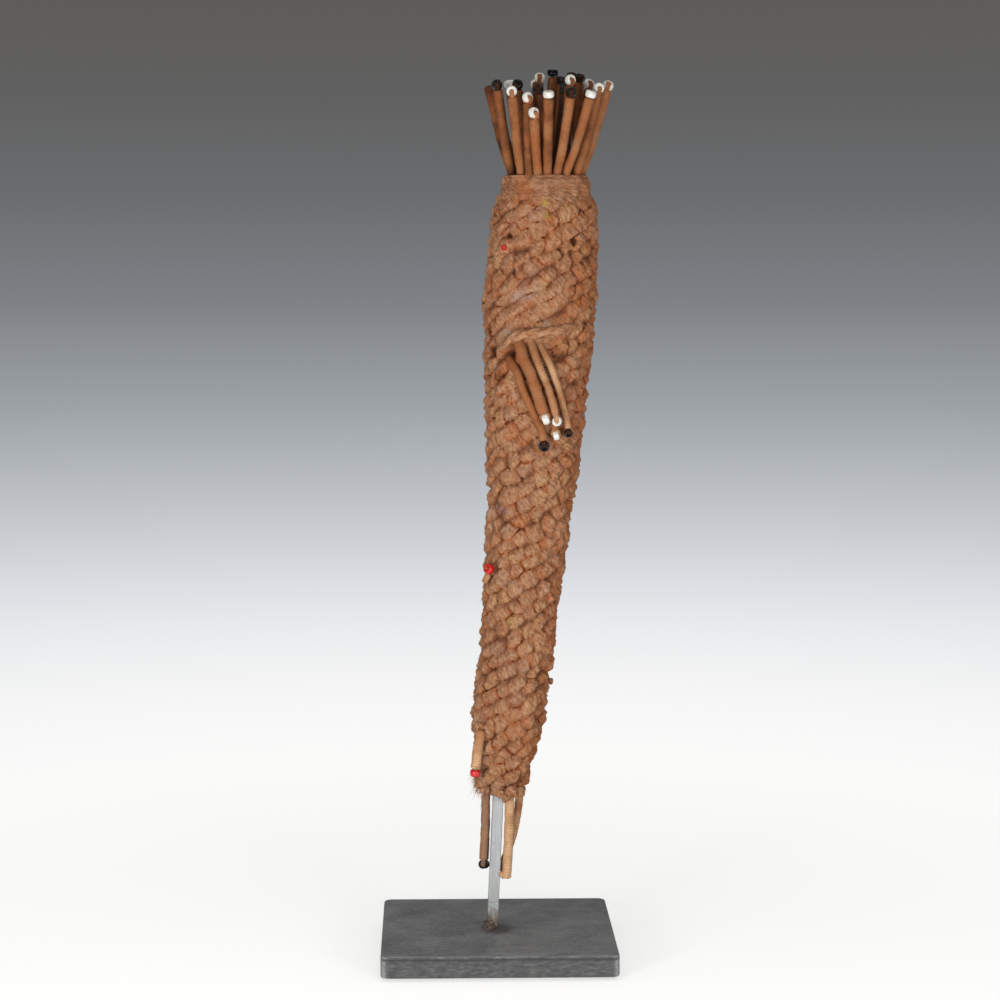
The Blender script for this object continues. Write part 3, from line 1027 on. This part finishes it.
def make_small_pieces(thread):
    """Side lock with its bead, the waist's bead and stub, and the chest's bead."""
    route = smooth_route([on_body(turn, share, FIT_GAP + SIDE_LOCK_RADIUS * (1 + lift))
                          for turn, share, lift in SIDE_LOCK_ROUTE], 2)
    make_lock("side_lock_bound", route, (SIDE_LOCK_RADIUS, SIDE_LOCK_RADIUS), 0.86, 90, thread,
              "side_lock_and_bead", "pale_thread", "side_lock",
              ("side_bead_glass", "red", "flat", 1.0, "side_bead", FIT_GAP, 0, 0))
    turn, share = WAIST_BEAD
    centre = on_body(turn, share, FIT_GAP + BEAD_DIAMETER / 2)
    hole = unit(around(0, 0.35, turn + 4, 1))
    make_bead("waist_bead_glass", centre, hole, 1.0, "red", "doll", "waist_bead")
    thread_end = plain_strand([centre - hole * 0.0022, centre, centre + hole * 0.0021],
                              BEAD_BORE / 2 * 0.95, 92)
    ends = [on_body(turn, share, FIT_GAP + WAIST_STUB_RADIUS) for turn, share in WAIST_STUB]
    make_lock("waist_stub_bound", [ends[0], (ends[0] + ends[1]) / 2, ends[1]],
              (WAIST_STUB_RADIUS, WAIST_STUB_RADIUS), 0.86, 91, thread, "doll", "pale_thread",
              "waist_stub", more=[(*thread_end, 0.50)])
    turn, share = CHEST_BEAD
    centre = on_body(turn, share, FIT_GAP + BEAD_LENGTH * CHEST_BEAD_SIZE / 2 - 0.0001)
    make_bead("chest_bead_glass", centre, around(0, 0, turn, 1), CHEST_BEAD_SIZE, "red", "doll", "chest_bead")


def make_collar(cord):
    """Wound band of cloth that grips the roots of the hair."""
    rows, columns = 34, 180
    angles = ring_angles(columns)
    low, high = COLLAR_LOW.z - 0.0030, COLLAR_HIGH.z - 0.0009
    levels = np.linspace(0, 1, rows)[:, None]
    heights = low + (high - low) * levels
    outline = np.interp(levels, (0, 0.12, 0.28, 0.55, 0.85, 1.0),
                        (0.0203, 0.0202, 0.0197, 0.0191, 0.0184, 0.0179))
    centre = axis_x(1.0) + TUFT_LEAN_STEP * (heights - COLLAR_LOW.z) / TUFT_HEIGHT
    skin = round_grid(centre, outline, angles, heights)
    lumps = waves(skin, 0.006, 82)
    wraps = np.abs(np.sin(math.pi * (levels * 4.3 + 0.25 * waves(skin, 0.03, 81))))
    radius = outline + (0.00038 * lumps + 0.00028 * waves(skin, 0.02, 83) + 0.00014 * (wraps - 0.6))
    inside = [round_grid(centre[-1], radius[-1] - inset, angles, high + rise)[None] for rise, inset in (
        (0.00025, 0.000275), (0.0003, 0.00066), (-0.0002, 0.0011), (-0.0035, 0.0011))]
    points = np.concatenate([round_grid(centre, radius, angles, heights), *inside])
    shape = points.shape[:2]
    relief = np.full(shape, 0.8)
    relief[:rows] = np.clip(0.62 + 0.25 * wraps + 0.14 * lumps, 0, 1)
    warm = spot_mask(share_at(points[:, 0, 2]), np.degrees(angles), COLLAR_SPOTS)
    weave = grid_weave(COLLAR_RADIUS * np.append(angles, 2 * math.pi), points[:, 0, 2])[..., ::-1]
    values = {"relief": relief, "tint": np.full(shape, 0.50), "hue": np.full(shape, 0.42),
              "warm": np.clip(warm, 0, 1)}
    band = mesh_object("collar_of_cloth", points, [grid_faces(*shape)], cord, values, weave)
    place_piece(band, "doll", "collar_cloth", "collar_band")


# Lumps of cord at the hem with the dark nub on the right, and the yellow tuft in front: place,
# half sizes and tint
HEM_LUMPS = (
    (on_body(-52, 0.119, 0.0004), (0.0028, 0.0026, 0.0022), 0.5),
    ((-0.0066, -0.0064, 0.0770), (0.0026, 0.0026, 0.0024), 0.5),
    ((-0.0084, -0.0052, 0.0750), (0.0018, 0.0020, 0.0016), 0.3),
    ((-0.0058, -0.0068, 0.0738), (0.0018, 0.0022, 0.0018), 0.4),
    (on_body(20, 0.008, 0.0004), (0.0030, 0.0026, 0.0026), 0.4),
    (on_body(44, 0.004, 0.0002), (0.0026, 0.0022, 0.0024), 0.2),
    (on_body(87.5, 0.1908, 0.0000), (0.0014, 0.0014, 0.0015), 0.1),
)
HEM_TUFTS = (
    ((0.0034, -0.0078, 0.0706), (0.0020, 0.0014, 0.0030), 0.1),
    ((0.0012, -0.0082, 0.0722), (0.0018, 0.0012, 0.0018), 0.0),
    ((0.0062, -0.0070, 0.0722), (0.0016, 0.0012, 0.0018), 0.1),
)


def lump_grid(centre, size, tint, draw):
    polar = np.linspace(0.04, math.pi - 0.04, 15)[:, None]
    spokes = ring_angles(20)
    ball = np.stack(np.broadcast_arrays(
        np.sin(polar) * np.cos(spokes), np.sin(polar) * np.sin(spokes), -np.cos(polar)), -1)
    grid = np.array(centre) + ball * np.array(size)
    grid = grid + ball * (0.00030 * waves(grid, 0.0026, int(draw.integers(999))))[..., None]
    relief = np.clip(0.7 + 0.25 * waves(grid, 0.002, int(draw.integers(999))), 0, 1)
    return grid, relief, np.linspace(0, size[2] * 2, len(polar)), tint


def make_hem(cord):
    draw = np.random.default_rng(5)
    for name, hue, lumps in (("hem_lumps", 0.52, HEM_LUMPS), ("hem_tuft", 0.92, HEM_TUFTS)):
        place_piece(grid_piece([lump_grid(*lump, draw) for lump in lumps], name, cord, hue),
                    "doll", "knotted_cord")


def hair_strokes(name, roots, ways, lengths, width, droop, seed, material, slot):
    """Many fine curved fibres as one mesh of thin three-sided spikes."""
    draw = np.random.default_rng(seed)
    count, steps = len(roots), 4
    bends = draw.normal(size=(count, 3)) * 0.55
    points = np.zeros((count, steps, 3, 3))
    side = units(np.cross(ways, draw.normal(size=(count, 3))))
    other = np.cross(ways, side)
    for step in range(steps):
        place = step / (steps - 1)
        centre = roots + (ways * place + bends * place ** 2 * 0.8) * lengths[:, None]
        centre[:, 2] -= droop * place ** 2 * lengths
        radius = width * (1 - 0.85 * place)
        for corner in range(3):
            angle = 2 * math.pi * corner / 3
            points[:, step, corner] = centre + radius * (math.cos(angle) * side + math.sin(angle) * other)
    starts = np.arange(count)[:, None] * steps * 3
    quads = (starts[..., None] + grid_faces(steps, 3)).reshape(-1, 4)
    tops = starts + (steps - 1) * 3 + np.arange(3)
    return place_piece(mesh_object(name, points, [quads, tops], material), "doll", slot)


def make_fibres(skin, fibre):
    """Fuzz over the sheath, and the frayed ends at the side lock's foot and the hem."""
    draw = np.random.default_rng(77)
    rows, columns = skin.shape[:2]
    count = 3600
    row, column = draw.integers(2, rows - 2, count), draw.integers(0, columns, count)
    turn, share = column * 360 / columns - 180, row / (rows - 1)
    clear = (np.abs(turn) > ARM_POCKET_HALF_TURN + 14) | (share < 0.57) | (share > 0.80)
    row, column, count = row[clear], column[clear], int(clear.sum())
    roots = skin[row, column]
    centre = axis_x(np.linspace(0, 1, rows))[row]
    ways = units(roots - np.stack([centre, centre * 0, roots[:, 2]], -1))
    ways = units(ways + draw.normal(size=(count, 3)) * 0.9)
    lengths = draw.uniform(0.0006, 0.0021, count)
    hair_strokes("sheath_fuzz", roots, ways, lengths, 0.000035, 0.2, 78, fibre, "knotted_cord")
    stub, hem = 320, 260
    roots = np.array(
        [on_body(-64 + 9 * draw.normal(), 0.030 + 0.012 * draw.normal(), 0.0022) for _ in range(stub)]
        + [on_body(draw.uniform(-180, 180), 0.004, -0.0002) for _ in range(hem)])
    ways = np.tile((0.0, -0.1, -1.0), (stub + hem, 1)) + draw.normal(size=(stub + hem, 3)) * 0.55
    ways[:stub, 0] -= 0.5
    lengths = np.concatenate([draw.uniform(0.0010, 0.0030, stub), draw.uniform(0.0008, 0.0026, hem)])
    hair_strokes("frayed_ends", roots, units(ways), lengths, 0.00013, 0.5, 79, fibre, "pale_thread")


# Stand
def make_stand():
    felt = felt_shade()
    for name, material in (("post", bar_shade()), ("cob_core", cob_shade()), ("base_plate", plate_shade()),
                           *((f"foot_pad_{number}", felt) for number in range(1, 5))):
        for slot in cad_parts[name].material_slots:
            slot.material = material
    floor, half = PLATE_HIGH.z, (WELD_HIGH - WELD_LOW) / 2
    levels, spokes = np.linspace(0, 1, 40)[:, None], ring_angles(44)
    wide = np.cos(levels * math.pi / 2 * 0.97) ** 0.8
    tall = np.sin(levels * math.pi / 2) ** 0.9
    ball = np.stack(np.broadcast_arrays(
        wide * np.cos(spokes) * half.x, wide * np.sin(spokes) * half.y, tall * (WELD_HIGH.z - floor)), -1)
    grid = np.array(((WELD_LOW.x + WELD_HIGH.x) / 2, 0.0, floor)) + ball
    lumps = 0.00042 * waves(grid, 0.0032, 91) + 0.00020 * waves(grid, 0.0014, 92)
    grid[..., :2] += (ball / np.linalg.norm(ball, axis=-1)[..., None])[..., :2] * (lumps * 0.8)[..., None]
    grid[..., 2] = np.maximum(grid[..., 2] + lumps * levels, floor + 0.00002)
    grid[0, :, 2] = floor + 0.00002
    weld = grid_piece([(grid, 0.9, np.linspace(0, 0.01, len(levels)), 0.5)], "weld_lump", weld_shade())
    place_piece(weld, "stand", "weld_metal", "weld_bead")


# Stage, light and camera
def tone_ramp(shade, value, stops):
    reach = stops[-1][0]
    return shade.ramp(shade.sum("DIVIDE", value, reach), *(
        (place / reach, (tone * (1 - 0.75 * blue), tone, tone * (1 + blue))) for place, tone, blue in stops))


def floor_material():
    """Pale matte floor with a soft shadow, which fades into an even tone towards the wall."""
    shade = Shade("studio_floor")
    parts = shade.parts()
    distance = shade.sum("SQRT", shade.sum(
        "ADD", shade.sum("POWER", parts["X"], 2.0), shade.sum("POWER", parts["Y"], 2.0)))
    path = shade.add("ShaderNodeLightPath").outputs
    seen = shade.sum("MAXIMUM", path["Is Camera Ray"], path["Is Glossy Ray"])
    seen = shade.sum("MAXIMUM", seen, path["Is Transmission Ray"])
    glow = shade.add("ShaderNodeEmission", {"Color": tone_ramp(shade, distance, FLOOR_STOPS)})
    matte = shade.add("ShaderNodeBsdfDiffuse", {"Color": (0.93, 0.93, 0.92, 1.0)})
    lift = shade.add("ShaderNodeEmission", {"Color": (1.0, 1.0, 0.99, 1.0),
                                            "Strength": shade.sum("MULTIPLY", seen, FLOOR_GLOW)})
    near = shade.add("ShaderNodeAddShader", {0: matte.outputs[0], 1: lift.outputs[0]})
    share = shade.sum("MULTIPLY", seen, shade.span(distance, 0.14, 0.44))
    return shade.surface(shade.add("ShaderNodeMixShader", {0: share, 1: near.outputs[0], 2: glow.outputs[0]}))


def make_stage():
    sides = np.arange(96)
    angles = ring_angles(len(sides))
    ring = np.stack([FLOOR_RADIUS * np.cos(angles), FLOOR_RADIUS * np.sin(angles), angles * 0], -1)
    faces = np.stack([np.full(len(sides), len(sides)), sides, (sides + 1) % len(sides)], -1)
    floor = mesh_object("studio_floor", np.concatenate([ring, [(0, 0, 0)]]), [faces], floor_material())
    shade = Shade("studio_wall")
    tone = tone_ramp(shade, shade.parts()["Z"], WALL_STOPS)
    backdrop = shade.surface(shade.add("ShaderNodeEmission", {"Color": tone}))
    top = ring + np.array((0, 0, WALL_HEIGHT))
    wall = mesh_object("studio_wall", np.concatenate([ring, top]), [grid_faces(2, len(sides))], backdrop)
    wall.visible_diffuse = False
    wall.visible_shadow = False


def make_light():
    for name, place, aim, size, power in LAMPS:
        lamp = bpy.data.lights.new(name, "AREA")
        lamp.shape = "RECTANGLE"
        lamp.size, lamp.size_y = size
        lamp.energy = power
        put(bpy.data.objects.new(name, lamp), place, Vector(aim) - Vector(place))
    bpy.data.objects["front_fill"].visible_glossy = False
    world = bpy.data.worlds.new("studio_air")
    bpy.context.scene.world = world
    world.use_nodes = True
    background = world.node_tree.nodes["Background"]
    background.inputs["Color"].default_value = (1.0, 1.0, 1.0, 1.0)
    background.inputs["Strength"].default_value = AIR_STRENGTH


def put(item, place, way):
    item.location = place
    item.rotation_mode = "QUATERNION"
    item.rotation_quaternion = way.to_track_quat("-Z", "Y")
    bpy.context.scene.collection.objects.link(item)


def make_camera():
    data = bpy.data.cameras.new("studio_camera")
    data.lens = CAMERA_LENS
    data.sensor_width = 36.0
    data.clip_end = 20.0
    camera = bpy.data.objects.new("studio_camera", data)
    put(camera, CAMERA_PLACE, Vector(CAMERA_WAY))
    bpy.context.scene.camera = camera


GLASS = {
    "white": glass_shade("white", (0.76, 0.735, 0.68), (0.62, 0.54, 0.42), 0.12),
    "black": glass_shade("black", (0.0035, 0.0035, 0.005), (0.008, 0.008, 0.008), 0.06, 0.0, 0.28),
    "red": glass_shade("red", (0.60, 0.012, 0.012), (0.46, 0.026, 0.020), 0.10, 0.2),
}

make_camera()
CORD = cord_shade("old_cord")
THREAD = thread_shade("wound_thread")
sheath_skin = make_sheath(CORD)
make_collar(cord_shade("collar_wrap", (0.345, 0.148, 0.070), (0.325, 0.175, 0.112)))
make_hair(THREAD)
make_arms(THREAD, CORD)
make_legs(THREAD, thread_shade("dusty_thread", 0.55))
make_small_pieces(THREAD)
make_hem(CORD)
make_fibres(sheath_skin, fibre_shade())
make_stand()
make_stage()
make_light()

bpy.context.scene.view_settings.view_transform = "Standard"
